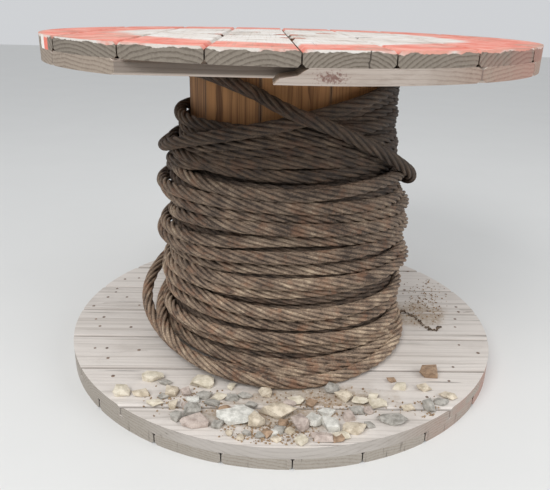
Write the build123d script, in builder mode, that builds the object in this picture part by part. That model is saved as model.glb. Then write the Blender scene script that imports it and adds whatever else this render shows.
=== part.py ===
from build123d import *
from math import cos, radians, sin, sqrt, tan
import os

os.makedirs("parts", exist_ok=True)

# Driving dimensions, in millimetres.
# The origin is the centre of the underside, +Z runs up the drum's axis and
# -Y points to the side with the broken flange board.
flange_diameter = 1067
board_thickness = 25.4
boards_per_layer = 8
board_gap = 2.5
edge_chamfer = 5
traverse = 660.4

# Each layer of boards: the width of its boards and the place of its middle seam;
# the outermost boards are sawn off at the rim
top_outer_width = 140.5
top_outer_seam = -3
top_inner_width = 138.7
top_inner_seam = -21.4
bottom_inner_width = 138.7
bottom_inner_seam = 13.5
bottom_outer_width = 134
bottom_outer_seam = 8

# Barrel of flat staves, held in a ring groove in each flange
barrel_diameter = 457
stave_count = 10
stave_thickness = 38.1
stave_gap = 1.5
stave_turn = 20
groove_depth = 9.5
groove_clearance = 1

# Arbor hole, tie bolts and their recesses
arbor_diameter = 76
bolt_count = 5
bolt_inset = 17.2
bolt_turn = -90
bolt_diameter = 12.7
bolt_hole_diameter = 14.3
recess_diameter = 54
recess_depth = 17
washer_diameter = 38
washer_thickness = 3
nut_across_flats = 22
nut_height = 11
head_height = 9
bolt_end_depth = 1

# Broken front board of the top flange, as lengths along the rim
break_bottom_x = -44
break_top_x = 9
break_splinter = 9

# Wire rope: its level turns, counted up from the bottom flange, as the number
# of layers under the face of each; then the slanting turns above them
rope_diameter = 28
turn_bite = 0.8
bore_clearance = 0.3
turn_layers = [3, 3, 3, 3, 3, 3, 3, 2, 3, 3, 3, 2, 2, 3, 2, 3, 2, 2]
slant_count = 5
slant_angle = 12
slant_high_side = 5
slant_gap = 28
turn_sides = 6

# The crossing turn runs down over the front, from under the top flange
crossing_gap = 34
crossing_radius = 297
crossing_angle = 30
crossing_high_side = -132
crossing_shift = (10, 11)

# The loose loop has slipped off the winding and lies on the bottom flange
loop_radius = 312
loop_angle = 20
loop_high_side = 70
loop_shift = (-40, -35)

flange_radius = flange_diameter / 2
rope_radius = rope_diameter / 2
rope_pitch = rope_diameter - turn_bite
half_stave_angle = 180 / stave_count
barrel_apothem = barrel_diameter / 2 * cos(radians(half_stave_angle))
stave_inner_apothem = barrel_apothem - stave_thickness
groove_inner_radius = stave_inner_apothem - groove_clearance
bolt_circle_radius = stave_inner_apothem - bolt_inset
height = traverse + 4 * board_thickness
bottom_flange_top = 2 * board_thickness
top_flange_bottom = bottom_flange_top + traverse


def seam_places(seam, width):
    """Centre lines of the seams of one layer, from one rim to the other."""
    half = boards_per_layer // 2
    return [seam + step * (width + board_gap) for step in range(1 - half, boards_per_layer - half)]


def board_spans(seam, width):
    """Low and high side of each board, with half a gap left at each seam."""
    places = seam_places(seam, width)
    lows = [-flange_radius] + [place + board_gap / 2 for place in places]
    highs = [place - board_gap / 2 for place in places] + [flange_radius]
    return list(zip(lows, highs))


def flange_board(low, high, along, bottom, outer, face):
    """One board of a flange layer; face is the inner or outer one, 0 low or -1 high."""
    with BuildPart() as board:
        with BuildSketch(Plane.XY.offset(bottom)):
            Circle(flange_radius)
            middle = (low + high) / 2
            if along == Axis.Y:
                with Locations((middle, 0)):
                    Rectangle(high - low, flange_diameter, mode=Mode.INTERSECT)
            else:
                with Locations((0, middle)):
                    Rectangle(flange_diameter, high - low, mode=Mode.INTERSECT)
        extrude(amount=board_thickness)
        chamfer(board.edges().filter_by(along), edge_chamfer)
        # arbor hole and bolt holes
        with BuildSketch(Plane.XY.offset(bottom)):
            Circle(arbor_diameter / 2)
            with PolarLocations(bolt_circle_radius, bolt_count, bolt_turn):
                Circle(bolt_hole_diameter / 2)
        extrude(amount=board_thickness, mode=Mode.SUBTRACT)
        if outer:
            # recesses for the bolt ends, open to the outer face
            recess_floor = bottom if face == 0 else bottom + board_thickness - recess_depth
            with BuildSketch(Plane.XY.offset(recess_floor)):
                with PolarLocations(bolt_circle_radius, bolt_count, bolt_turn):
                    Circle(recess_diameter / 2)
            extrude(amount=recess_depth, mode=Mode.SUBTRACT)
        else:
            # ring groove for the staves, open to the inner face
            groove_floor = bottom if face == 0 else bottom + board_thickness - groove_depth
            with BuildSketch(Plane.XY.offset(groove_floor)):
                Circle(barrel_diameter / 2 + groove_clearance)
                Circle(groove_inner_radius, mode=Mode.SUBTRACT)
            extrude(amount=groove_depth, mode=Mode.SUBTRACT)
    return board.part


# Flange boards: the outer layers run along Y, the inner layers along X
layers = [
    ("bottom_outer_board", bottom_outer_seam, bottom_outer_width, Axis.Y, 0, True, 0),
    ("bottom_inner_board", bottom_inner_seam, bottom_inner_width, Axis.X, board_thickness, False, -1),
    ("top_inner_board", top_inner_seam, top_inner_width, Axis.X, top_flange_bottom, False, 0),
    ("top_outer_board", top_outer_seam, top_outer_width, Axis.Y, height - board_thickness, True, -1),
]
for layer, seam, width, along, bottom, outer, face in layers:
    for number, (low, high) in enumerate(board_spans(seam, width), start=1):
        board = flange_board(low, high, along, bottom, outer, face)
        if layer == "top_inner_board" and number == 1:
            # the left part of the front board has split away along a slanting break
            with BuildPart() as broken:
                add(board)
                with BuildSketch(Plane.XZ.offset(flange_radius)):
                    with BuildLine():
                        Polyline(
                            (-flange_radius, bottom - board_thickness),
                            (break_bottom_x, bottom - board_thickness),
                            (break_bottom_x, bottom),
                            (break_bottom_x + break_splinter, bottom + board_thickness / 3),
                            (break_top_x - 2 * break_splinter, bottom + board_thickness / 2),
                            (break_top_x, bottom + board_thickness),
                            (break_top_x, bottom + 2 * board_thickness),
                            (-flange_radius, bottom + 2 * board_thickness),
                            close=True,
                        )
                    make_face()
                extrude(amount=-flange_radius, mode=Mode.SUBTRACT)
            board = broken.part
        board.label = f"{layer}_{number}"
        export_step(board, f"parts/{board.label}.step")

# Staves: flat boards with bevelled sides, seated in both grooves
stave_length = traverse + 2 * groove_depth
for number in range(1, stave_count + 1):
    with BuildPart() as stave:
        with BuildSketch(Plane.XY.offset(bottom_flange_top - groove_depth)):
            outer_half = barrel_apothem * tan(radians(half_stave_angle)) - stave_gap / 2
            inner_half = outer_half - stave_thickness * tan(radians(half_stave_angle))
            with BuildLine():
                Polyline(
                    (barrel_apothem, outer_half),
                    (stave_inner_apothem, inner_half),
                    (stave_inner_apothem, -inner_half),
                    (barrel_apothem, -outer_half),
                    close=True,
                )
            make_face()
        extrude(amount=stave_length)
    placed = stave.part.rotate(Axis.Z, stave_turn + number * 2 * half_stave_angle)
    placed.label = f"stave_{number}"
    export_step(placed, f"parts/{placed.label}.step")

# Tie bolts: a hexagonal head in the bottom recess and the rod; each has a washer and a nut on top
bolt_places = PolarLocations(bolt_circle_radius, bolt_count, bolt_turn).locations
head_bottom = recess_depth - head_height
nut_bottom = height - recess_depth + washer_thickness
for number, place in enumerate(bolt_places, start=1):
    with BuildPart() as tie_bolt:
        with BuildSketch(Plane.XY.offset(head_bottom)):
            with Locations(place.position):
                RegularPolygon(nut_across_flats / 2, 6, major_radius=False)
        extrude(amount=head_height)
        with BuildSketch(Plane.XY.offset(head_bottom)):
            with Locations(place.position):
                Circle(bolt_diameter / 2)
        extrude(amount=height - bolt_end_depth - head_bottom)
    tie_bolt.part.label = f"tie_bolt_{number}"
    export_step(tie_bolt.part, f"parts/{tie_bolt.part.label}.step")

with BuildPart() as tie_nuts:
    with BuildSketch(Plane.XY.offset(nut_bottom)):
        with Locations([place.position for place in bolt_places]):
            RegularPolygon(nut_across_flats / 2, 6, major_radius=False)
            Circle(bolt_diameter / 2, mode=Mode.SUBTRACT)
    extrude(amount=nut_height)
tie_nuts.part.label = "tie_nuts"
export_step(tie_nuts.part, "parts/tie_nuts.step")

with BuildPart() as tie_washers:
    with BuildSketch(Plane.XY.offset(height - recess_depth)):
        with Locations([place.position for place in bolt_places]):
            Circle(washer_diameter / 2)
            Circle(bolt_diameter / 2, mode=Mode.SUBTRACT)
    extrude(amount=washer_thickness)
tie_washers.part.label = "tie_washers"
export_step(tie_washers.part, "parts/tie_washers.step")

# Wire rope winding: a turned ring with a ridge for each turn that shows.
# One layer of turns lies on the barrel, and the next lies in its hollows.
layer_rise = sqrt(rope_diameter**2 - (rope_pitch / 2) ** 2)
first_layer = barrel_diameter / 2 + rope_radius
bore_radius = barrel_diameter / 2 + bore_clearance
hollow_reach = sqrt(rope_radius**2 - (rope_pitch / 2) ** 2)


def slanted_plane(centre, angle, high_side):
    """Plane of a turn that rises by angle towards its high side, both in degrees."""
    lean = sin(radians(angle))
    side = radians(high_side)
    upright = cos(radians(angle))
    return Plane(origin=centre, z_dir=(-lean * cos(side), -lean * sin(side), upright))


def wound_ring(layers_of_turns, lowest_turn):
    """Turned ring about the Z axis, with a ridge on its face for each turn."""
    centres = [first_layer + (layers_here - 1) * layer_rise for layers_here in layers_of_turns]
    highest_turn = lowest_turn + (len(centres) - 1) * rope_pitch
    outline = [(bore_radius, lowest_turn - rope_radius), (centres[0], lowest_turn - rope_radius)]
    for turn, centre in enumerate(centres):
        outline.append((centre + rope_radius, lowest_turn + turn * rope_pitch))
        if turn + 1 < len(centres):
            # the hollow between this turn and the next
            hollow_radius = min(centre, centres[turn + 1]) + hollow_reach
            outline.append((hollow_radius, lowest_turn + (turn + 0.5) * rope_pitch))
    outline.append((centres[-1], highest_turn + rope_radius))
    outline.append((bore_radius, highest_turn + rope_radius))
    with BuildPart() as ring:
        with BuildSketch(Plane.XZ):
            with BuildLine():
                Polyline(*outline, close=True)
            make_face()
        revolve(axis=Axis.Z)
    return ring.part


def loose_turn(turn_radius):
    """One closed turn of the rope about the Z axis, with a flat-sided section."""
    with BuildPart() as turn:
        with BuildSketch(Plane.XZ):
            with Locations((turn_radius, 0)):
                RegularPolygon(rope_radius, turn_sides, rotation=180 / turn_sides)
        revolve(axis=Axis.Z)
    return turn.part


# Both groups of slanting turns are set by the gap left under the top flange at their high side.
highest_centre = top_flange_bottom - rope_radius
slant_rise = first_layer * sin(radians(slant_angle))
slant_height = (slant_count - 1) * rope_pitch * cos(radians(slant_angle))
slant_first_height = highest_centre - slant_gap - slant_rise - slant_height
slant_plane = slanted_plane((0, 0, slant_first_height), slant_angle, slant_high_side)
crossing_height = highest_centre - crossing_gap - crossing_radius * sin(radians(crossing_angle))
crossing_plane = slanted_plane((*crossing_shift, crossing_height), crossing_angle, crossing_high_side)
loop_height = bottom_flange_top + rope_radius + loop_radius * sin(radians(loop_angle))
loop_plane = slanted_plane((*loop_shift, loop_height), loop_angle, loop_high_side)
with BuildPart() as rope_winding:
    add(wound_ring(turn_layers, bottom_flange_top + rope_radius))
    add(wound_ring([1] * slant_count, 0).moved(slant_plane.location))
    add(loose_turn(crossing_radius).moved(crossing_plane.location))
    add(loose_turn(loop_radius).moved(loop_plane.location))
    with BuildSketch(Plane.XY):
        Circle(bore_radius)
    extrude(amount=height, mode=Mode.SUBTRACT)
rope_winding.part.label = "rope_winding"
export_step(rope_winding.part, "parts/rope_winding.step")
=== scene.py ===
import itertools
import math
import random

import bmesh
import bpy
from mathutils import Matrix, Vector


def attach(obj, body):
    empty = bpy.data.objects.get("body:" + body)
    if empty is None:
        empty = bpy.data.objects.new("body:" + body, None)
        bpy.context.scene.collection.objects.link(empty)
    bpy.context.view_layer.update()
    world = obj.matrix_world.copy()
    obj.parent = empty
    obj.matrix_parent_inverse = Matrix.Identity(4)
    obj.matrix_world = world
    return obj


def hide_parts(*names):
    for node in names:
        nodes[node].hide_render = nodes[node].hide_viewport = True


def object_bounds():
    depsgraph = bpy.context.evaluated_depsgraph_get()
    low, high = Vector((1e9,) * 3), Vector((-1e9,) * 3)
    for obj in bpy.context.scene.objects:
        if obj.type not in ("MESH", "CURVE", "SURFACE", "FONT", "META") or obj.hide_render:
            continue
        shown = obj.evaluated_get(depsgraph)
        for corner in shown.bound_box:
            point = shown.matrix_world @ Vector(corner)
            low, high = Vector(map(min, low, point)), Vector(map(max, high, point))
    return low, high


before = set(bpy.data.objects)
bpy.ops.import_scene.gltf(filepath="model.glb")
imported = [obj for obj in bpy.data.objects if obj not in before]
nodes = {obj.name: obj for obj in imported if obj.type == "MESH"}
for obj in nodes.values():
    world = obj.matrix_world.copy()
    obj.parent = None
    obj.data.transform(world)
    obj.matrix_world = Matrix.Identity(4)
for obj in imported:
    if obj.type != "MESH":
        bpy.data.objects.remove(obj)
cad_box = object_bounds()

# Sizes that the boards, barrel and rope share with the drum's construction, in metres
BOARD_THICKNESS = 0.0254
FLANGE_TOP = 2 * BOARD_THICKNESS
BARREL_RADIUS = 0.2285
ROPE_RADIUS = 0.014
ROPE_PITCH = 0.0272
FIRST_LAYER = BARREL_RADIUS + ROPE_RADIUS
LAYER_RISE = math.sqrt((2 * ROPE_RADIUS) ** 2 - (ROPE_PITCH / 2) ** 2)
LOWEST_TURN = FLANGE_TOP + ROPE_RADIUS
LEVEL_TURNS = 18

# Camera, as fitted to the photograph
IMAGE_WIDTH = 550
IMAGE_HEIGHT = 490
FOCAL_PIXELS = 597.8
CAMERA_PLACE = Vector((-0.0592, -1.4346, 0.8136))
CAMERA_YAW = -0.0265
CAMERA_PITCH = 0.3744
CAMERA_ROLL = 0.0252
SENSOR_WIDTH = 36.0


def camera_axes():
    """Right, up and forward directions of the camera."""
    sin_yaw, cos_yaw = math.sin(CAMERA_YAW), math.cos(CAMERA_YAW)
    sin_pitch, cos_pitch = math.sin(CAMERA_PITCH), math.cos(CAMERA_PITCH)
    forward = Vector((-sin_yaw * cos_pitch, cos_yaw * cos_pitch, -sin_pitch))
    level = Vector((cos_yaw, sin_yaw, 0))
    up = level.cross(forward)
    right = level * math.cos(CAMERA_ROLL) + up * math.sin(CAMERA_ROLL)
    return right, up * math.cos(CAMERA_ROLL) - level * math.sin(CAMERA_ROLL), forward


RIGHT, UP, FORWARD = camera_axes()


def ray_at(x, y):
    """Direction from the camera to what shows at pixel x, y."""
    across = (x - IMAGE_WIDTH / 2) / FOCAL_PIXELS
    down = (y - IMAGE_HEIGHT / 2) / FOCAL_PIXELS
    return FORWARD + RIGHT * across - UP * down


def place_on(x, y, z):
    """The point at height z that shows at pixel x, y, and the metres a pixel spans there."""
    ray = ray_at(x, y)
    reach = (z - CAMERA_PLACE.z) / ray.z
    return CAMERA_PLACE + ray * reach, reach / FOCAL_PIXELS


def place_on_rim(x, y):
    """The point of the flanges' rim that shows at pixel x, y."""
    ray = ray_at(x, y)
    square = ray.x ** 2 + ray.y ** 2
    half = ray.x * CAMERA_PLACE.x + ray.y * CAMERA_PLACE.y
    rest = CAMERA_PLACE.x ** 2 + CAMERA_PLACE.y ** 2 - cad_box[1][0] ** 2
    return CAMERA_PLACE + ray * ((-half - math.sqrt(half ** 2 - square * rest)) / square)


# Materials


def colour(red, green, blue):
    """Linear colour from the 0 to 255 numbers of a picture."""
    out = []
    for value in (red, green, blue):
        share = value / 255
        out.append(share / 12.92 if share <= 0.04045 else ((share + 0.055) / 1.055) ** 2.4)
    return (*out, 1.0)


# Colours of dirt, paint and worn places, and of painted shade
CRACK_BROWN = colour(70, 58, 48)
SEAM_BROWN = colour(92, 80, 70)
END_CHECK_BROWN = colour(60, 50, 42)
END_CRACK_BROWN = colour(48, 38, 30)
RIM_SHADE = colour(94, 86, 77)
TRODDEN_DIRT = colour(156, 133, 107)
TRODDEN_DUST = colour(172, 158, 139)
DUSTY_RED = colour(190, 116, 102)
RUST_STAIN = colour(96, 56, 46)
PAINT_RED = colour(228, 116, 96)
PAINT_RED_THIN = colour(244, 168, 150)
PAINT_WHITE = colour(238, 234, 228)
PAINT_WHITE_THIN = colour(226, 216, 206)
SPLASH_RED = colour(226, 122, 104)
SPLASH_WHITE = colour(232, 228, 222)
DRIP_RED = colour(234, 160, 142)
ROPE_GROOVE_SHADE = colour(40, 32, 26)
ROPE_TOP_SHADE = colour(42, 34, 28)
ROPE_SHADE = colour(32, 25, 20)
FLOOR_DARK = colour(222, 222, 220)
FLOOR_PALE = colour(226, 226, 224)


class Net:
    """A material's node tree, with short calls that join its nodes."""

    def __init__(self, name, roughness=0.8, metallic=0.0):
        self.material = bpy.data.materials.new(name)
        self.material.use_nodes = True
        self.tree = self.material.node_tree
        self.shader = self.tree.nodes["Principled BSDF"]
        self.shader.inputs["Roughness"].default_value = roughness
        self.shader.inputs["Metallic"].default_value = metallic
        self.coords = self.tree.nodes.new("ShaderNodeTexCoord").outputs["Object"]
        self.x, self.y, self.z = self.split(self.coords)

    def put(self, socket, value):
        if isinstance(value, bpy.types.NodeSocket):
            self.tree.links.new(value, socket)
        else:
            socket.default_value = value

    def split(self, vector):
        node = self.tree.nodes.new("ShaderNodeSeparateXYZ")
        self.put(node.inputs[0], vector)
        return node.outputs[0], node.outputs[1], node.outputs[2]

    def join(self, x, y, z):
        node = self.tree.nodes.new("ShaderNodeCombineXYZ")
        for socket, value in zip(node.inputs, (x, y, z)):
            self.put(socket, value)
        return node.outputs[0]

    def math(self, operation, first, second=0.0, third=0.0):
        node = self.tree.nodes.new("ShaderNodeMath")
        node.operation = operation
        for socket, value in zip(node.inputs, (first, second, third)):
            self.put(socket, value)
        return node.outputs[0]

    def add(self, *values):
        total = values[0]
        for value in values[1:]:
            total = self.math("ADD", total, value)
        return total

    def times(self, *values):
        total = values[0]
        for value in values[1:]:
            total = self.math("MULTIPLY", total, value)
        return total

    def swing(self, value, size):
        """A 0 to 1 value turned into one that swings about zero."""
        return self.math("MULTIPLY", self.math("SUBTRACT", value, 0.5), size)

    def away(self, x, y):
        """Distance from zero of a place with these two coordinates."""
        return self.math("SQRT", self.add(self.times(x, x), self.times(y, y)))

    def noise(self, vector, scale, detail=3.0, rough=0.55):
        node = self.tree.nodes.new("ShaderNodeTexNoise")
        self.put(node.inputs["Vector"], vector)
        self.put(node.inputs["Scale"], scale)
        node.inputs["Detail"].default_value = detail
        node.inputs["Roughness"].default_value = rough
        return node.outputs["Fac"]

    def white(self, vector):
        node = self.tree.nodes.new("ShaderNodeTexWhiteNoise")
        self.put(node.inputs["Vector"], vector)
        return self.split(node.outputs["Color"])

    def ease(self, value, low, high, to_low=0.0, to_high=1.0):
        node = self.tree.nodes.new("ShaderNodeMapRange")
        node.interpolation_type = "SMOOTHSTEP"
        for socket, given in zip(node.inputs, (value, low, high, to_low, to_high)):
            self.put(socket, given)
        return node.outputs[0]

    def mix(self, share, first, second):
        node = self.tree.nodes.new("ShaderNodeMix")
        node.data_type = "RGBA"
        self.put(node.inputs[0], share)
        self.put(node.inputs[6], first)
        self.put(node.inputs[7], second)
        return node.outputs[2]

    def normal(self):
        return self.split(self.tree.nodes.new("ShaderNodeNewGeometry").outputs["Normal"])

    def bump(self, height, distance):
        node = self.tree.nodes.new("ShaderNodeBump")
        node.inputs["Distance"].default_value = distance
        self.put(node.inputs["Height"], height)
        return node.outputs[0]

    def finish(self, base, roughness=None, normal=None):
        self.put(self.shader.inputs["Base Color"], base)
        if roughness is not None:
            self.put(self.shader.inputs["Roughness"], roughness)
        if normal is not None:
            self.put(self.shader.inputs["Normal"], normal)
        return self.material


# Growth rings of the boards, in metres: how far apart, how much they wander, and where the pith lies
RING_SPACING = 0.0055
RING_SPACING_SPREAD = 0.003
RING_WARP = 0.016
PITH_ASIDE = 0.12
PITH_DEPTH = 0.05
PITH_DEPTH_SPREAD = 0.08

# The pith's depth is measured from a flange's seam; two such steps lead from one flange to the other
SEAM_STEP = 0.355

# Dirt along the seams: how far from a board's edge it starts and where it is full
SEAM_DIRT = 0.0055
SEAM_DIRT_FULL = 0.0015

WOOD_BUMP = 0.0011


class Board:
    """A point's place on the board that it belongs to, and three random numbers of that board."""

    def __init__(self, net, runs, seam, pitch, seed):
        self.net = net
        if runs == "x":
            length, across, self.height = net.x, net.y, net.z
        elif runs == "y":
            length, across, self.height = net.y, net.x, net.z
        else:
            length, across = net.z, net.math("ARCTAN2", net.y, net.x)
            self.height = net.math("SUBTRACT", net.away(net.x, net.y), BARREL_RADIUS)
        from_seam = net.math("SUBTRACT", across, seam)
        number = net.math("FLOOR", net.math("DIVIDE", from_seam, pitch))
        self.odd, self.even, self.third = net.white(net.join(number, seed, 0.5))
        middle = net.times(net.add(number, 0.5), pitch)
        self.across = net.math("SUBTRACT", from_seam, middle)
        self.half_width = pitch / 2
        if runs == "z":
            self.across = net.times(self.across, BARREL_RADIUS)
            self.half_width *= BARREL_RADIUS
            self.level = self.height
        else:
            above_seam = net.math("SUBTRACT", self.height, BOARD_THICKNESS)
            self.level = net.math("FLOORED_MODULO", above_seam, SEAM_STEP)
        self.along = net.add(length, net.times(self.odd, 7.0))

    def grain(self, scale_along, scale_across, scale_up, detail, rough):
        """Noise drawn out along the board."""
        net = self.net
        place = net.join(net.times(self.along, scale_along), net.times(self.across, scale_across),
                         net.times(self.height, scale_up))
        return net.noise(place, 1.0, detail, rough)


def growth_rings(net, board):
    """A 0 to 1 value across each growth ring, round a pith line somewhere under the board."""
    warp = net.swing(board.grain(2.2, 14.0, 1.0, 3.0, 0.55), RING_WARP)
    side = net.math("SUBTRACT", board.across, net.swing(board.even, PITH_ASIDE))
    deep = net.add(board.level, net.math("MULTIPLY_ADD", board.third, PITH_DEPTH_SPREAD, PITH_DEPTH))
    rings = net.add(net.away(side, deep), warp)
    spacing = net.math("MULTIPLY_ADD", board.odd, RING_SPACING_SPREAD, RING_SPACING)
    return net.math("FRACT", net.math("DIVIDE", rings, spacing))


def wood_face(net, board, tones, contrast, ring_line, fibre, crack, blotch):
    """Colour of the boards' long faces: grain, blotches, small cracks and dirt along the seams."""
    pale, dark = tones
    streak = board.grain(2.0, 85.0, 85.0, 3.0, 0.6)
    dark_streak = net.times(net.ease(streak, 0.38, 0.72), 0.42 * contrast)
    shade = net.add(net.times(ring_line, 0.34 * contrast), dark_streak, net.swing(fibre, 0.5 * contrast),
                    net.swing(board.odd, 0.2))
    face = net.mix(net.ease(shade, 0.0, 1.0), pale, dark)
    face = net.mix(net.times(net.ease(blotch, 0.5, 0.8), 0.3), face, dark)
    face = net.mix(net.times(crack, 0.6), face, CRACK_BROWN)
    from_middle = net.add(net.math("ABSOLUTE", board.across), net.swing(streak, 0.004))
    dirty = net.ease(from_middle, board.half_width - SEAM_DIRT, board.half_width - SEAM_DIRT_FULL)
    return net.mix(net.times(dirty, 0.6), face, SEAM_BROWN)


def wood_end(net, board, tones, contrast, ring, blotch):
    """Colour and relief of the boards' ends: rings cut across, greyer and rougher, with checks."""
    pale, dark = tones
    grit = net.noise(net.coords, 220.0, 3.0, 0.7)
    check_place = net.join(net.times(board.across, 150.0), net.times(board.height, 12.0), board.third)
    check = net.ease(net.noise(check_place, 1.0, 2.0), 0.66, 0.74)
    shade = net.add(net.times(net.ease(ring, 0.35, 0.9), 0.5 * contrast), net.swing(grit, 1.1),
                    net.times(blotch, 0.3))
    end = net.mix(net.ease(shade, 0.0, 1.0), pale, dark)
    end = net.mix(net.times(check, 0.5 * contrast), end, END_CHECK_BROWN)
    return end, net.math("SUBTRACT", grit, net.times(check, 1.5))


def timber(name, runs, seam, pitch, tones, seed, contrast=1.0, extra=None):
    """Weathered sawn boards laid side by side; runs is the axis along the boards, x, y or z."""
    net = Net(name)
    board = Board(net, runs, seam, pitch, seed)
    ring = growth_rings(net, board)
    ring_line = net.math("POWER", ring, 3.0)
    fibre = board.grain(6.0, 260.0, 260.0, 4.0, 0.65)
    crack = net.ease(board.grain(3.0, 95.0, 95.0, 1.0, 0.4), 0.72, 0.77)
    blotch = net.noise(net.join(board.along, board.across, board.height), 7.0, 4.0, 0.6)
    face = wood_face(net, board, tones[:2], contrast, ring_line, fibre, crack, blotch)
    end, end_relief = wood_end(net, board, tones[2:], contrast, ring, blotch)

    normal_x, normal_y, normal_z = net.normal()
    facing = {"x": normal_x, "y": normal_y, "z": normal_z}[runs]
    is_end = net.ease(net.math("ABSOLUTE", facing), 0.3, 0.6)
    base = net.mix(is_end, face, end)
    if runs != "z":
        # painted shade: the upright rims are darker than the faces, as they take less of the light from
        # above
        upright = net.ease(net.math("ABSOLUTE", normal_z), 0.6, 0.2)
        base = net.mix(net.times(upright, 0.42), base, RIM_SHADE)
    rough = net.math("MULTIPLY_ADD", fibre, 0.2, 0.72)
    if extra is not None:
        base, rough = extra(net, base, rough, normal_z, blotch, fibre)

    relief = net.add(net.times(fibre, 0.6), net.times(ring_line, -0.35), net.times(crack, -1.4))
    relief = net.add(net.times(relief, net.math("SUBTRACT", 1.0, is_end)), net.times(end_relief, is_end))
    return net.finish(base, rough, net.bump(relief, WOOD_BUMP))


# Where the red dust on the rims starts and where it is full, in metres along X
RED_DUST_START = 0.18
RED_DUST_FULL = 0.48


def red_dust(net, base, rough, normal_z, blotch, fibre):
    """Red paint rubbed onto the rim at the right of the flanges."""
    on_rim = net.ease(net.math("ABSOLUTE", normal_z), 0.6, 0.2)
    patchy = net.ease(net.add(blotch, net.swing(fibre, 0.4)), 0.3, 0.6)
    share = net.times(net.ease(net.x, RED_DUST_START, RED_DUST_FULL), on_rim, patchy)
    return net.mix(net.times(share, 0.36), base, DUSTY_RED), rough


# Places of a crack in a board's end, a rust stain and a splash of paint on the top flange's rim, from
# their pixels, with their sizes in metres
CRACK_PLACE = place_on_rim(370, 61)
CRACK_HALF_WIDTH = 0.0016
STAIN_PLACE = place_on_rim(331, 78)
STAIN_HALF_WIDTH = 0.020
STAIN_HALF_HEIGHT = 0.007
SPLASH_PLACE = place_on_rim(45, 52)
SPLASH_HALF_WIDTH = 0.030


def rust_stain(net, base, rough, normal_z, blotch, fibre):
    """A rust stain on the rim at the front, with the red dust at the right."""
    base, rough = red_dust(net, base, rough, normal_z, blotch, fibre)
    off_x = net.math("DIVIDE", net.math("SUBTRACT", net.x, STAIN_PLACE.x), STAIN_HALF_WIDTH)
    off_z = net.math("DIVIDE", net.math("SUBTRACT", net.z, STAIN_PLACE.z), STAIN_HALF_HEIGHT)
    spots = net.noise(net.coords, 230.0, 4.0, 0.75)
    spotted = net.add(net.away(off_x, off_z), net.swing(spots, 6.0))
    share = net.times(net.ease(spotted, 1.4, 0.2), net.ease(net.y, -0.30, -0.35))
    return net.mix(net.times(share, 0.8), base, RUST_STAIN), rough


# Radii between which the white paint of the middle ends and the red of the border is full, in metres
RED_START = 0.42
RED_FULL = 0.46
RAGGED_EDGE = 0.14


def flange_paint(net, base, rough, normal_z, blotch, fibre):
    """Salmon-red paint round the border and white in the middle, both worn to the wood."""
    radius = net.away(net.x, net.y)
    edge = net.noise(net.coords, 7.0, 4.0, 0.65)
    red_share = net.ease(net.math("MULTIPLY_ADD", edge, RAGGED_EDGE, radius), RED_START, RED_FULL)
    thin = net.ease(net.noise(net.coords, 16.0, 4.0, 0.65), 0.35, 0.65)
    red = net.mix(thin, PAINT_RED, PAINT_RED_THIN)
    white = net.mix(thin, PAINT_WHITE, PAINT_WHITE_THIN)
    paint = net.mix(red_share, white, red)
    on_top = net.ease(normal_z, 0.3, 0.8)

    # worn away along the grain, in patches, and more towards the rim
    wear = net.add(net.times(net.ease(fibre, 0.50, 0.75), 0.7), net.times(net.ease(blotch, 0.50, 0.72), 0.8),
                   net.times(net.ease(radius, 0.520, 0.534), 0.5))
    unworn = net.math("SUBTRACT", 1.0, net.math("MINIMUM", net.times(wear, 0.75), 1.0))
    cover = net.times(on_top, unworn)
    base = net.mix(cover, base, paint)

    # a splash that ran down the rim at the left, half red and half white, and drips along the top edge
    on_rim = net.ease(net.math("ABSOLUTE", normal_z), 0.5, 0.2)
    off_x = net.math("SUBTRACT", net.x, SPLASH_PLACE.x)
    off_y = net.math("SUBTRACT", net.y, SPLASH_PLACE.y)
    drop = net.noise(net.coords, 34.0, 3.0, 0.6)
    ragged = net.add(net.away(off_x, off_y), net.swing(drop, SPLASH_HALF_WIDTH))
    splash = net.times(net.ease(ragged, SPLASH_HALF_WIDTH * 1.1, SPLASH_HALF_WIDTH * 0.9), on_rim)
    splash_paint = net.mix(net.ease(off_y, -0.002, 0.002), SPLASH_RED, SPLASH_WHITE)
    base = net.mix(splash, base, splash_paint)
    low_edge = net.math("MULTIPLY_ADD", drop, -0.016, cad_box[1][2] + 0.004)
    drip = net.times(on_rim, net.ease(net.z, low_edge, net.add(low_edge, 0.001)))
    drip_paint = net.mix(net.ease(edge, 0.45, 0.55), DRIP_RED, white)
    base = net.mix(net.times(drip, 0.75), base, drip_paint)

    # a crack across the end of one board at the front
    wandering = net.add(net.x, net.swing(drop, 0.012))
    crack_off = net.math("ABSOLUTE", net.math("SUBTRACT", wandering, CRACK_PLACE.x))
    crack = net.times(net.ease(crack_off, CRACK_HALF_WIDTH, 0.0006), on_rim, net.ease(net.y, -0.40, -0.42))
    base = net.mix(net.times(crack, 0.85), base, END_CRACK_BROWN)
    base, rough = red_dust(net, base, rough, normal_z, blotch, fibre)
    return base, net.math("SUBTRACT", rough, net.times(cover, 0.2))


# Grit that has been trodden into the bottom flange: middle of the patch and its half sizes, in metres
GRIT_PATCHES = ((-0.05, -0.44, 0.17, 0.055), (0.37, 0.01, 0.09, 0.09), (0.06, -0.375, 0.20, 0.05))


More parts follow.
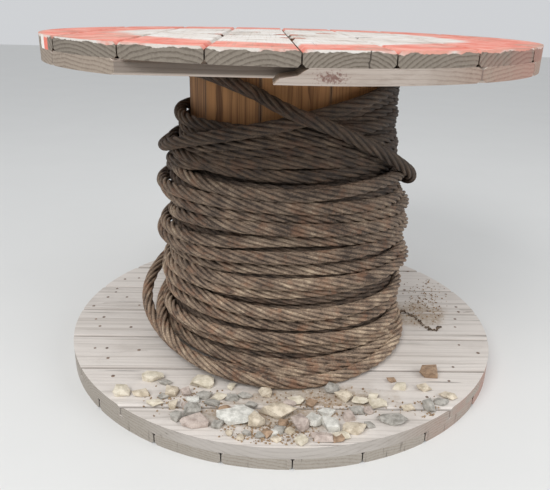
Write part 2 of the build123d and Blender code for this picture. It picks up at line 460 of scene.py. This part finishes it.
def dusty(net, base, rough, normal_z, blotch, fibre):
    """Dirt trodden into the bottom flange, with the red dust on its rim."""
    base, rough = red_dust(net, base, rough, normal_z, blotch, fibre)
    speck = net.noise(net.coords, 170.0, 4.0, 0.7)
    wide = net.noise(net.coords, 18.0, 3.0, 0.6)
    up = net.ease(normal_z, 0.6, 0.9)
    for middle_x, middle_y, half_x, half_y in GRIT_PATCHES:
        off_x = net.math("DIVIDE", net.math("SUBTRACT", net.x, middle_x), half_x)
        off_y = net.math("DIVIDE", net.math("SUBTRACT", net.y, middle_y), half_y)
        inside = net.ease(net.add(net.away(off_x, off_y), net.swing(wide, 1.2)), 1.1, 0.5)
        share = net.times(inside, net.ease(speck, 0.32, 0.62, 0.35, 0.85), up)
        dirt = net.mix(net.ease(wide, 0.4, 0.6), TRODDEN_DIRT, TRODDEN_DUST)
        base = net.mix(share, base, dirt)
    return base, rough


# Wires that show on one strand, and the length of rope in which they shift by one, in metres
WIRES_IN_VIEW = 6.0
WIRE_LAY = 0.012
ROPE_BUMP = 0.0006


def rope_material(name, pale, middle, dark, rust):
    """Rusty stranded wire rope; the UV map holds the strand's number and share, and the length."""
    net = Net(name, roughness=0.62, metallic=0.1)
    uv = net.tree.nodes.new("ShaderNodeUVMap")
    uv.uv_map = "lay"
    across, along, _ = net.split(uv.outputs["UV"])
    share = net.math("FRACT", across)
    strand = net.math("FLOOR", across)
    crest = net.math("SUBTRACT", 1.0, net.math("ABSOLUTE", net.math("MULTIPLY_ADD", share, 2.0, -1.0)))
    wire_place = net.add(net.times(share, WIRES_IN_VIEW), net.math("DIVIDE", along, WIRE_LAY))
    wires = net.math("SINE", net.times(wire_place, 2 * math.pi))
    streak = net.noise(net.join(net.times(across, 9.0), net.times(along, 22.0), 0.0), 1.0, 3.0, 0.6)
    tint, _, _ = net.white(net.join(strand, net.math("FLOOR", net.times(along, 1.7)), 0.0))
    fine = net.noise(net.coords, 300.0, 3.0, 0.7)
    patch = net.noise(net.coords, 30.0, 4.0, 0.6)
    wide = net.noise(net.coords, 5.5, 3.0, 0.55)
    # each strand's crest is painted lighter, a painted highlight, over patches, streaks and tints that
    # differ at random
    light = net.add(net.times(net.ease(crest, 0.05, 0.7), 0.26), net.swing(patch, 1.3), net.swing(fine, 1.1),
                    net.swing(wide, 0.8), net.swing(streak, 1.3), net.swing(tint, 0.20),
                    net.times(wires, 0.06), 0.12)
    base = net.mix(net.ease(light, -0.05, 0.40), dark, middle)
    base = net.mix(net.ease(light, 0.38, 0.95), base, pale)
    rust_patch = net.noise(net.coords, 26.0, 5.0, 0.7)
    base = net.mix(net.times(net.ease(rust_patch, 0.48, 0.68), 0.48), base, rust)
    # painted shade in the grooves between the strands
    base = net.mix(net.times(net.ease(crest, 0.0, 0.18, 1.0, 0.0), 0.34), base, ROPE_GROOVE_SHADE)

    # painted shade under the top flange: darker towards the top, with a painted shadow that is darkest at
    # the right
    base = net.mix(net.ease(net.z, 0.12, 0.52, 0.0, 0.45), base, ROPE_TOP_SHADE)
    flange_shadow_right = net.times(net.ease(net.x, 0.0, 0.24), net.ease(net.z, 0.44, 0.58), 0.5)
    base = net.mix(flange_shadow_right, base, ROPE_SHADE)
    rough = net.math("MULTIPLY_ADD", fine, 0.25, 0.55)
    height = net.add(net.times(wires, 0.4), fine)
    return net.finish(base, rough, net.bump(height, ROPE_BUMP))


def steel_material(name, dark, pale):
    net = Net(name, roughness=0.6, metallic=0.5)
    patch = net.noise(net.coords, 120.0, 4.0, 0.6)
    base = net.mix(net.ease(patch, 0.35, 0.65), dark, pale)
    return net.finish(base, net.math("MULTIPLY_ADD", patch, 0.3, 0.5), net.bump(patch, 0.0006))


def stone_material(name, pale, dark):
    net = Net(name, roughness=0.85)
    patch = net.noise(net.coords, 70.0, 5.0, 0.65)
    speck = net.noise(net.coords, 420.0, 2.0, 0.6)
    shade = net.add(net.ease(patch, 0.35, 0.7), net.swing(speck, 0.8))
    relief = net.add(patch, net.times(speck, 0.3))
    return net.finish(net.mix(shade, pale, dark), None, net.bump(relief, 0.0015))


bottom_tones = (colour(220, 213, 206), colour(152, 142, 132), colour(200, 192, 181), colour(156, 145, 131))
warm_tones = (colour(204, 190, 179), colour(146, 126, 112), colour(184, 168, 152), colour(120, 102, 87))
# the top flange's end tones are darker, as painted shade on its upright rim
top_tones = (colour(186, 168, 150), colour(118, 98, 82), colour(150, 140, 127), colour(84, 73, 62))
stave_tones = (colour(178, 130, 84), colour(96, 64, 40), colour(160, 124, 80), colour(96, 66, 40))

# Materials of the solids, by the start of their names. For each kind of board: its axis, a seam's place and
# the pitch in metres, or in radians round the barrel, tones, a seed, contrast and what lies on the wood
solid_materials = {
    "bottom_outer_board": timber("bottom_outer_wood", "y", 0.008, 0.1365, bottom_tones, 3.0, 0.7, red_dust),
    "bottom_inner_board": timber("bottom_inner_wood", "x", 0.0135, 0.1412, bottom_tones, 7.0, 0.8, dusty),
    "top_inner_board": timber("top_inner_wood", "x", -0.0214, 0.1412, warm_tones, 11.0, 0.8, rust_stain),
    "top_outer_board": timber("top_outer_wood", "y", -0.003, 0.143, top_tones, 17.0, 1.0, flange_paint),
    "stave": timber("stave_wood", "z", math.radians(2.0), math.radians(36.0), stave_tones, 23.0, 1.3),
    "tie": steel_material("rusty_bolt_steel", colour(70, 52, 42), colour(128, 84, 58)),
}
for name, node in nodes.items():
    for start, material in solid_materials.items():
        if name.startswith(start):
            node.data.materials.clear()
            node.data.materials.append(material)


# Rope


def mesh_object(name, points, faces, material, smooth=True):
    mesh = bpy.data.meshes.new(name)
    mesh.from_pydata(points, [], faces)
    mesh.materials.append(material)
    if smooth:
        mesh.polygons.foreach_set("use_smooth", [True] * len(mesh.polygons))
    mesh.update()
    piece = bpy.data.objects.new(name, mesh)
    bpy.context.scene.collection.objects.link(piece)
    return piece


STRANDS = 6
LAY_LENGTH = 0.200
STRAND_RADIUS = ROPE_RADIUS / 3
STRAND_CENTRE = 2 * ROPE_RADIUS / 3
ROPE_STEP = 0.011


def strand_profile(points_per_strand):
    """Rope section as polar points: the outline of six touching strands."""
    out = []
    half = math.pi / STRANDS
    for strand in range(STRANDS):
        for step in range(points_per_strand):
            share = step / points_per_strand
            turned = (2 * share - 1) * half
            inside = STRAND_RADIUS ** 2 - (STRAND_CENTRE * math.sin(turned)) ** 2
            reach = STRAND_CENTRE * math.cos(turned) + math.sqrt(max(inside, 0.0))
            out.append((2 * half * strand + turned, reach, strand + share))
    return out


# Shift along the rope from one path to the next, so that their patches and streaks differ
PATTERN_SHIFT = 3.7
# Keeps the last corner of a strand in its own whole number
STRAND_MARGIN = 0.001


def rope_piece(name, paths, material, points_per_strand=5):
    """Stranded rope along closed paths, each a list of points, with its lay in the UV map."""
    profile = strand_profile(points_per_strand)
    count = len(profile)
    points, faces, corners = [], [], []
    for path_number, path in enumerate(paths):
        total = len(path)
        lengths = [0.0]
        for before, after in zip(path, path[1:] + path[:1]):
            lengths.append(lengths[-1] + (after - before).length)
        lay = lengths[-1] / round(lengths[-1] / LAY_LENGTH)
        base = len(points)
        for index, place in enumerate(path):
            tangent = (path[(index + 1) % total] - path[index - 1]).normalized()
            outward = Vector((0, 0, 1)).cross(tangent).cross(tangent).normalized()
            other = tangent.cross(outward)
            twist = 2 * math.pi * lengths[index] / lay + path_number
            for angle, reach, _ in profile:
                turned = angle + twist
                aside = place + outward * (reach * math.cos(turned))
                points.append(aside + other * (reach * math.sin(turned)))
        for row in range(total):
            here = base + row * count
            there = base + (row + 1) % total * count
            low = lengths[row] + path_number * PATTERN_SHIFT
            high = lengths[row + 1] + path_number * PATTERN_SHIFT
            for step in range(count):
                beside = (step + 1) % count
                faces.append((here + step, here + beside, there + beside, there + step))
                left = profile[step][2]
                right = left + 1.0 / points_per_strand - STRAND_MARGIN
                corners.extend(((left, low), (right, low), (right, high), (left, high)))
    piece = mesh_object(name, points, faces, material)
    uv = piece.data.uv_layers.new(name="lay")
    for loop, corner in zip(uv.data, corners):
        loop.uv = corner
    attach(piece, "root")
    return piece


# How the turns lie: samples round the drum, from -X round by the front
SAMPLES = 180
ANGLES = [2 * math.pi * index / SAMPLES - math.pi for index in range(SAMPLES)]

# A little sway of the hidden turns, in metres, which starts anywhere within about a full turn
SWAY = 0.0012
SWAY_STARTS = 6.28
sway = random.Random(5)


def swayed(height):
    """Heights round the drum of a turn that is level, but for a little sway."""
    first = sway.uniform(0, SWAY_STARTS)
    second = sway.uniform(0, SWAY_STARTS)
    out = []
    for angle in ANGLES:
        wave = math.sin(angle + first) + 0.5 * math.sin(3 * angle + second)
        out.append(height + SWAY * wave)
    return out


# Heights of the outer turns, in millimetres, at these angles in degrees, seen from above, from the left
# round by the front; each turn lies on those that stand before it
MEASURED_ANGLES = (-170, -135, -90, -45, -10)
OUTER_TURNS = {
    "high_3": (485, 520, 553, 541, 535),
    "high_2": (500, 540, 574, 560, 556),
    "high_4": (470, 508, 533, 522, 514),
    "middle_4": (428, 419, 422, 406, 392),
    "middle_8": (284, 289, 306, 292, 282),
    "low_1": (262, 268, 275, 272, 262),
    "low_6": (106, 118, 117, 100, 90),
    "middle_6": (334, 345, 371, 356, 342),
    "low_2": (238, 245, 251, 254, 242),
    "low_4": (172, 179, 173, 163, 152),
    "high_5": (528, 514, 503, 507, 497),
    "middle_7": (314, 323, 336, 334, 314),
    "low_5": (128, 141, 144, 126, 114),
    "middle_5": (364, 389, 400, 384, 358),
    "middle_2": (486, 473, 470, 480, 470),
    "low_7": (90, 84, 78, 77, 68),
    "middle_3": (434, 445, 445, 432, 418),
    "low_3": (216, 215, 204, 199, 190),
    "high_1": (590, 588, 588, 594, 604),
    "highest": (517, 560, 612, 656, 672),
}
LARGEST_RADIUS = 0.302
# Largest radii of the turns at the same angles, in millimetres: at both sides from the outline, and
# in front as one turn lies over or under the next; "high" is for those without a row of their own
LARGEST_RADII = {
    "high": (274, 274, 270, 258, 250),
    "high_1": (258, 258, 262, 252, 244),
    "high_2": (266, 266, 266, 254, 244),
    "highest": (291, 290, 278, 254, 243),
    "middle_2": (264, 280, 294, 286, 272),
    "middle_3": (298, 298, 294, 284, 270),
    "middle_4": (296, 290, 282, 284, 290),
    "middle_5": (272, 286, 299, 296, 284),
    "middle_6": (300, 292, 281, 284, 296),
    "middle_7": (302, 302, 298, 290, 282),
    "middle_8": (278, 276, 278, 286, 292),
    "low_1": (272, 286, 298, 302, 302),
    "low_2": (290, 288, 280, 282, 288),
    "low_3": (294, 300, 302, 298, 290),
    "low_4": (288, 284, 280, 284, 288),
    "low_5": (296, 302, 300, 296, 290),
    "low_6": (292, 286, 281, 284, 290),
    "low_7": (298, 300, 300, 298, 292),
}


def through(measured, back):
    """Heights or radii round the drum, smooth through the measured ones and back at the far side."""
    marks = [math.radians(angle) for angle in MEASURED_ANGLES] + [math.radians(90)]
    values = [value / 1000 for value in measured] + [back / 1000]
    count = len(marks)
    turn = 2 * math.pi
    slopes = []
    for index in range(count):
        gap_before = (marks[index] - marks[index - 1]) % turn
        gap_after = (marks[(index + 1) % count] - marks[index]) % turn
        rise_before = (values[index] - values[index - 1]) / gap_before
        rise_after = (values[(index + 1) % count] - values[index]) / gap_after
        slopes.append((rise_before * gap_after + rise_after * gap_before) / (gap_before + gap_after))
    out = []
    for angle in ANGLES:
        index = max(range(count), key=lambda mark: -((angle - marks[mark]) % turn))
        following = (index + 1) % count
        gap = (marks[following] - marks[index]) % turn
        share = ((angle - marks[index]) % turn) / gap
        square, cube = share ** 2, share ** 3
        value = (2 * cube - 3 * square + 1) * values[index]
        value += (cube - 2 * square + share) * gap * slopes[index]
        value += (3 * square - 2 * cube) * values[following]
        value += (cube - square) * gap * slopes[following]
        out.append(value)
    return out


# How close a turn rests on the one below, as a share of the rope's diameter, and over how many samples
# to either side its bumps are widened and eased
PRESSED = 0.97
WIDENED = 2
EASED = 4


def resting_radius(heights, below, largest):
    """Radius at each angle of a turn that lies on the turns below it, eased along its length."""
    reach = 2 * ROPE_RADIUS * PRESSED
    bare = []
    for index, height in enumerate(heights):
        radius = FIRST_LAYER
        for other_heights, other_radii in below:
            apart = abs(height - other_heights[index])
            if apart < reach:
                radius = max(radius, other_radii[index] + math.sqrt(reach ** 2 - apart ** 2))
        bare.append(min(radius, largest[index]))
    wide, out = [], []
    for index in range(SAMPLES):
        wide.append(max(bare[(index + shift) % SAMPLES] for shift in range(-WIDENED, WIDENED + 1)))
    for index in range(SAMPLES):
        near = [wide[(index + shift) % SAMPLES] for shift in range(-EASED, EASED + 1)]
        out.append(sum(near) / len(near))
    return out


def path_of(heights, radii, step=ROPE_STEP):
    """Points along a turn, from its heights and radii at the sample angles."""
    count = round(2 * math.pi * max(radii) / step)
    path = []
    for number in range(count):
        place = SAMPLES * number / count
        index = int(place)
        share = place - index
        following = (index + 1) % SAMPLES
        angle = ANGLES[0] + 2 * math.pi * number / count
        radius = radii[index] * (1 - share) + radii[following] * share
        height = heights[index] * (1 - share) + heights[following] * share
        path.append(Vector((radius * math.cos(angle), radius * math.sin(angle), height)))
    return path


rope_low = rope_material("wire_rope_lower", colour(216, 194, 166), colour(144, 123, 104), colour(74, 60, 50),
                         colour(160, 114, 84))
# a darker copy of the lower rope: painted shade under the top flange
rope_high_shaded = rope_material("wire_rope_upper_shaded", colour(166, 142, 117), colour(104, 85, 68), colour(54, 43, 35),
                          colour(128, 88, 63))
# a darker copy of the lower rope: painted shade on the recessed second layer
rope_under_shaded = rope_material("wire_rope_under_shaded", colour(164, 143, 122), colour(112, 94, 79), colour(58, 47, 39),
                           colour(128, 92, 70))

# the level turns that the outer ones lie on: the second layer, but for the two highest
SECOND_LAYER = FIRST_LAYER + LAYER_RISE
HIGHEST_SINGLE_TURNS = 2
double_turns = LEVEL_TURNS - HIGHEST_SINGLE_TURNS
under = []
for turn in range(LEVEL_TURNS):
    layer = SECOND_LAYER if turn < double_turns else FIRST_LAYER
    under.append((swayed(LOWEST_TURN + turn * ROPE_PITCH), [layer] * SAMPLES))

# one more on the barrel closes the gap between the two kinds
CLOSING_TURN_BELOW = 0.65
closing_height = LOWEST_TURN + (double_turns - CLOSING_TURN_BELOW) * ROPE_PITCH
under.append((swayed(closing_height), [FIRST_LAYER] * SAMPLES))

# slanting turns on the barrel, above them: heights in millimetres at the measured angles
SLANTING_TURNS = ((489, 500, 534, 565, 580), (542, 553, 580, 610, 630), (564, 568, 598, 636, 650))
slanting = []
for measured in SLANTING_TURNS:
    slanting.append((through(measured, (measured[0] + measured[-1]) / 2), [FIRST_LAYER] * SAMPLES))

# the outer turns, which stray a little at the back, by up to so many millimetres
BACK_SWAY = 6
laid = under + slanting
outer = {}
for name, measured in OUTER_TURNS.items():
    heights = through(measured, (measured[0] + measured[-1]) / 2 + sway.uniform(-BACK_SWAY, BACK_SWAY))
    limits = LARGEST_RADII.get(name, LARGEST_RADII["high"])
    largest = through(limits, (limits[0] + limits[-1]) / 2)
    outer[name] = (heights, resting_radius(heights, laid, largest))
    laid.append(outer[name])

# the hidden turns have fewer points round and along them
HIDDEN_STEP = 0.014
HIDDEN_POINTS = 4
hidden_paths = [path_of(*turn, HIDDEN_STEP) for turn in under]
rope_pieces = [
    rope_piece("rope_second_layer", hidden_paths, rope_under_shaded, HIDDEN_POINTS),
    rope_piece("rope_slanting_turns", [path_of(*turn) for turn in slanting], rope_high_shaded),
]
for group, material in (("high", rope_high_shaded), ("middle", rope_low), ("low", rope_low)):
    paths = [path_of(*turn) for name, turn in outer.items() if name.startswith(group)]
    rope_pieces.append(rope_piece(f"rope_{group}_turns", paths, material))

# the turn that comes from under the top flange and crosses over the others down to the right
CROSSING_TURN = (690, 690, 632, 535, 448)
CROSSING_BACK = 560
crossing_heights = through(CROSSING_TURN, CROSSING_BACK)
crossing_radii = resting_radius(crossing_heights, laid, [LARGEST_RADIUS] * SAMPLES)
rope_pieces.append(rope_piece("rope_crossing_turn", [path_of(crossing_heights, crossing_radii)], rope_high_shaded))

# loose turns fanned out on the bottom flange: heights and radii in millimetres, the last at the back
LOOSE_TURNS = (
    ((122, 74, 66, 66, 68, 250), (349, 328, 309, 301, 297, 288)),
    ((118, 92, 67, 66, 68, 150), (312, 343, 345, 322, 306, 290)),
)
loose_paths = []
for heights, radii in LOOSE_TURNS:
    loose_paths.append(path_of(through(heights[:-1], heights[-1]), through(radii[:-1], radii[-1])))
rope_pieces.append(rope_piece("rope_loose_turns", loose_paths, rope_low))
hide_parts("rope_winding")


# Nails

nail_material = steel_material("dusty_nail_steel", colour(110, 92, 80), colour(158, 138, 122))

# Nail heads that the photograph shows on the bottom flange, as pixels
NAIL_PIXELS = (
    (96, 319), (104, 317), (100, 326), (131, 327), (95, 348), (107, 348), (139, 350), (108, 358),
    (113, 376), (116, 292), (139, 278), (108, 297), (127, 297), (456, 307), (455, 319), (455, 327),
    (459, 345), (478, 353), (453, 367), (449, 381), (427, 397), (432, 415),
)
# Nails at the back: radius and number of each half ring, and how far they stray, in metres
NAIL_RINGS = ((0.500, 17), (0.400, 13))
NAIL_STRAY = 0.012
NAIL_SIDES = 10
SMALLEST_NAIL = 0.0032
LARGEST_NAIL = 0.0044
# Levels above the wood and shares of the radius, from the foot of a head to its top
NAIL_LEVELS = ((-0.001, 1.0), (0.0002, 1.0), (0.0005, 0.8))

nail_draw = random.Random(31)


def nail_head(points, faces, middle, size):
    """Adds a flat round nail head with a bevelled edge to a mesh's points and faces."""
    base = len(points)
    for level, share in NAIL_LEVELS:
        for side in range(NAIL_SIDES):
            turn = 2 * math.pi * side / NAIL_SIDES
            spoke = Vector((size * share * math.cos(turn), size * share * math.sin(turn), level))
            points.append(middle + spoke)
    rings = len(NAIL_LEVELS) - 1
    for ring in range(rings):
        low = base + ring * NAIL_SIDES
        high = low + NAIL_SIDES
        for side in range(NAIL_SIDES):
            beside = (side + 1) % NAIL_SIDES
            faces.append((low + side, low + beside, high + beside, high + side))
    faces.append(tuple(base + rings * NAIL_SIDES + side for side in range(NAIL_SIDES)))
    faces.append(tuple(base + side for side in reversed(range(NAIL_SIDES))))


nail_places = [place_on(x, y, FLANGE_TOP)[0] for x, y in NAIL_PIXELS]
for radius, count in NAIL_RINGS:
    for number in range(count):
        angle = math.pi * (number + nail_draw.uniform(0.25, 0.75)) / count
        reach = radius + nail_draw.uniform(-NAIL_STRAY, NAIL_STRAY)
        nail_places.append(Vector((reach * math.cos(angle), reach * math.sin(angle), FLANGE_TOP)))
nail_points, nail_faces = [], []
for middle in nail_places:
    nail_head(nail_points, nail_faces, middle, nail_draw.uniform(SMALLEST_NAIL, LARGEST_NAIL))
nails = mesh_object("bottom_flange_nails", nail_points, nail_faces, nail_material, smooth=False)
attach(nails, "root")


# Gravel

# Stones that lie on the bottom flange, as pixels: middle, width and height
STONES = {
    "yellow": ((152, 376, 20, 13), (205, 381, 25, 15), (231, 385, 9, 9), (219, 395, 15, 9),
               (154, 401, 17, 9), (296, 399, 15, 9), (359, 400, 18, 12), (379, 402, 18, 10),
               (120, 390, 17, 14), (400, 385, 14, 9), (302, 443, 13, 14), (342, 434, 16, 9),
               (373, 395, 10, 9)),
    "buff": ((141, 392, 16, 10), (173, 391, 12, 14), (173, 403, 9, 10), (278, 411, 32, 20),
             (276, 437, 11, 8), (354, 427, 24, 12), (345, 395, 19, 15), (267, 392, 15, 12),
             (257, 421, 15, 18), (290, 429, 10, 9), (240, 435, 8, 8), (229, 431, 7, 7),
             (449, 394, 18, 8), (425, 386, 14, 8), (409, 406, 14, 9)),
    "grey": ((166, 381, 14, 8), (193, 409, 17, 14), (176, 416, 13, 15), (217, 423, 12, 11),
             (244, 394, 15, 8), (212, 401, 14, 9), (332, 388, 14, 12), (452, 405, 18, 8),
             (398, 422, 28, 10), (356, 409, 14, 11), (279, 428, 12, 10), (247, 431, 9, 7),
             (260, 433, 9, 7), (163, 395, 10, 8), (370, 423, 10, 9), (252, 403, 12, 8),
             (232, 396, 12, 8), (428, 405, 12, 18), (205, 394, 15, 10)),
    "white": ((238, 416, 36, 20), (314, 421, 16, 16), (331, 425, 16, 18), (326, 411, 16, 12),
              (273, 431, 10, 9), (194, 398, 14, 9), (200, 420, 10, 9), (240, 407, 16, 10)),
    "pink": ((186, 391, 10, 13), (192, 424, 25, 16), (349, 415, 12, 12), (368, 409, 10, 9),
             (300, 424, 16, 22), (288, 402, 14, 10), (326, 441, 18, 12), (316, 434, 12, 10),
             (186, 403, 9, 7)),
    "brown": ((267, 432, 12, 11), (429, 372, 18, 17), (392, 378, 9, 6), (310, 402, 14, 10),
              (225, 408, 12, 9), (340, 441, 12, 9), (283, 422, 10, 9)),
}
STONE_TONES = {
    "yellow": (colour(228, 219, 201), colour(196, 186, 164)),
    "buff": (colour(222, 210, 190), colour(178, 164, 142)),
    "grey": (colour(184, 180, 172), colour(134, 130, 122)),
    "white": (colour(228, 226, 218), colour(186, 184, 176)),
    "pink": (colour(202, 188, 178), colour(162, 146, 137)),
    "brown": (colour(178, 150, 124), colour(134, 111, 90)),
}
# The corners of a stone's block lie between this share of its half size and the whole, the block tilts by
# up to so many radians, and its foot is cut flat at this share of its half height
INNERMOST_CORNER = 0.35
LARGEST_TILT = 0.35
FOOT = -0.8
stone_draw = random.Random(77)


def stone(hull, middle, half_width, half_depth, half_height, chips):
    """Adds a broken stone, the hull of an uneven block's corners and some chips, to a mesh."""
    turn = Matrix.Rotation(stone_draw.uniform(0, math.pi), 3, "Z")
    turn = turn @ Matrix.Rotation(stone_draw.uniform(-LARGEST_TILT, LARGEST_TILT), 3, "X")
    corners = []
    for signs in itertools.product((-1, 1), repeat=3):
        corners.append(turn @ Vector([sign * stone_draw.uniform(INNERMOST_CORNER, 1.0) for sign in signs]))
    for _ in range(chips):
        corners.append(Vector([stone_draw.gauss(0, 1) for _ in range(3)]).normalized())
    widest = [max(abs(corner[axis]) for corner in corners) for axis in range(3)]
    own = bmesh.new()
    for corner in corners:
        place_x = middle.x + half_width * corner.x / widest[0]
        place_y = middle.y + half_depth * corner.y / widest[1]
        place_z = middle.z + half_height * max(corner.z / widest[2], FOOT)
        own.verts.new((place_x, place_y, place_z))
    bmesh.ops.convex_hull(own, input=own.verts)
    loose = [vert for vert in own.verts if not vert.link_faces]
    bmesh.ops.delete(own, geom=loose, context="VERTS")
    mesh = bpy.data.meshes.new("stone")
    own.to_mesh(mesh)
    own.free()
    hull.from_mesh(mesh)
    bpy.data.meshes.remove(mesh)


def gravel_piece(name, hull, material):
    bmesh.ops.recalc_face_normals(hull, faces=hull.faces)
    mesh = bpy.data.meshes.new(name)
    hull.to_mesh(mesh)
    hull.free()
    mesh.materials.append(material)
    piece = bpy.data.objects.new(name, mesh)
    bpy.context.scene.collection.objects.link(piece)
    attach(piece, "root")


# Half sizes of a stone, as shares of its width and height in the picture; the depth is a guess from both
HALF_WIDTH = 0.60
HALF_HEIGHT = 0.32
HALF_DEPTH = 0.58
LEAST_DEPTH = 0.6

# Height above the wood at which a stone's middle is read from its pixels, in metres
READ_HEIGHT = 0.008

# Place of the middle above the wood, as a share of the half height, and how far the middle stays from
# the rim, as a share of the largest half size
STONE_MIDDLE = 0.78
RIM_GAP = 1.1

# Stones at least so many pixels wide get more chips
LARGE_STONE = 22
FEW_CHIPS = 9
MANY_CHIPS = 18

for tone, stones in STONES.items():
    hull = bmesh.new()
    for x, y, width, height in stones:
        middle, scale = place_on(x, y, FLANGE_TOP + READ_HEIGHT)
        half_width = HALF_WIDTH * width * scale
        half_height = HALF_HEIGHT * height * scale
        half_depth = max(HALF_DEPTH * height * scale, LEAST_DEPTH * half_width)
        middle.z = FLANGE_TOP + STONE_MIDDLE * half_height
        away = math.hypot(middle.x, middle.y)
        furthest = cad_box[1][0] - RIM_GAP * max(half_width, half_depth)
        if away > furthest:
            middle.x *= furthest / away
            middle.y *= furthest / away
        chips = FEW_CHIPS if width < LARGE_STONE else MANY_CHIPS
        stone(hull, middle, half_width, half_depth, half_height, chips)
    gravel_piece(f"gravel_{tone}", hull, stone_material(f"stone_{tone}", *STONE_TONES[tone]))

# Farthest from the axis that a grain lies, and half sizes of the grains, in metres
GRAIN_LIMIT = 0.525
GRIT_SIZES = (0.0008, 0.0026)
SOIL_SIZES = (0.0015, 0.0034)


def grain(hull, x, y, sizes):
    """Adds one grain that shows at pixel x, y, unless it would lie too near the rim."""
    middle, _ = place_on(x, y, FLANGE_TOP)
    size = stone_draw.uniform(*sizes)
    middle.z = FLANGE_TOP + 0.5 * size
    if math.hypot(middle.x, middle.y) < GRAIN_LIMIT:
        stone(hull, middle, size, size, 0.7 * size, 0)


# Fine grit round the stones: pixel box and how many grains
GRIT_BOXES = ((215, 418, 330, 450, 420), (140, 385, 240, 420, 160), (240, 385, 400, 425, 260),
              (400, 275, 450, 330, 200), (395, 395, 460, 425, 60))
hull = bmesh.new()
for left, top, right, bottom, count in GRIT_BOXES:
    for _ in range(count):
        x = stone_draw.triangular(left, right)
        y = stone_draw.triangular(top, bottom)
        grain(hull, x, y, GRIT_SIZES)
gravel_piece("gravel_grit", hull, stone_material("stone_grit", colour(176, 150, 120), colour(122, 98, 74)))

# Dried soil along the edge of the dirt at the right, as pixels of its line
SOIL_LINE = ((401, 311), (407, 313), (414, 317), (421, 323), (429, 330), (436, 330), (441, 327))
GRAINS_PER_STRETCH = 14
hull = bmesh.new()
for (x_from, y_from), (x_to, y_to) in zip(SOIL_LINE, SOIL_LINE[1:]):
    for _ in range(GRAINS_PER_STRETCH):
        share = stone_draw.random()
        x = x_from + share * (x_to - x_from) + stone_draw.gauss(0, 0.8)
        y = y_from + share * (y_to - y_from) + stone_draw.gauss(0, 0.5)
        grain(hull, x, y, SOIL_SIZES)
gravel_piece("gravel_soil", hull, stone_material("stone_soil", colour(120, 102, 84), colour(70, 58, 48)))


# Floor, light and camera

FLOOR_HALF = 12.0
floor_net = Net("floor_pale", roughness=0.9)
floor_net.finish(floor_net.mix(floor_net.noise(floor_net.coords, 3.0), FLOOR_DARK, FLOOR_PALE))
corners = [Vector((x * FLOOR_HALF, y * FLOOR_HALF, 0)) for x, y in ((-1, -1), (1, -1), (1, 1), (-1, 1))]
floor = mesh_object("floor", corners, [(0, 1, 2, 3)], floor_net.material)

WORLD_COLOUR = (0.95, 0.97, 1.0, 1)
WORLD_STRENGTH = 0.66
world = bpy.data.worlds.new("studio")
bpy.context.scene.world = world
world.use_nodes = True
background = world.node_tree.nodes["Background"]
background.inputs["Color"].default_value = WORLD_COLOUR
background.inputs["Strength"].default_value = WORLD_STRENGTH

# Studio lights: name, place in metres and power in watts, all aimed at one point
LIGHTS = (("key", (-1.6, -2.6, 3.2), 95), ("fill", (2.6, -1.6, 1.6), 34))
LIGHT_TARGET = (0, 0, 0.35)
LIGHT_SIZE = 2.4
for name, place, power in LIGHTS:
    data = bpy.data.lights.new(name, "AREA")
    data.shape = "DISK"
    data.size = LIGHT_SIZE
    data.energy = power
    light = bpy.data.objects.new(name, data)
    light.location = place
    light.rotation_euler = (Vector(LIGHT_TARGET) - Vector(place)).to_track_quat("-Z", "Y").to_euler()
    bpy.context.scene.collection.objects.link(light)

camera_data = bpy.data.cameras.new("camera")
camera_data.sensor_fit = "HORIZONTAL"
camera_data.sensor_width = SENSOR_WIDTH
camera_data.lens = SENSOR_WIDTH * FOCAL_PIXELS / IMAGE_WIDTH
camera_data.clip_start = 0.01
camera = bpy.data.objects.new("camera", camera_data)
camera_turn = Matrix((RIGHT, UP, -FORWARD)).transposed().to_4x4()
camera.matrix_world = Matrix.Translation(CAMERA_PLACE) @ camera_turn
bpy.context.scene.collection.objects.link(camera)
bpy.context.scene.camera = camera
bpy.context.scene.view_settings.view_transform = "Standard"
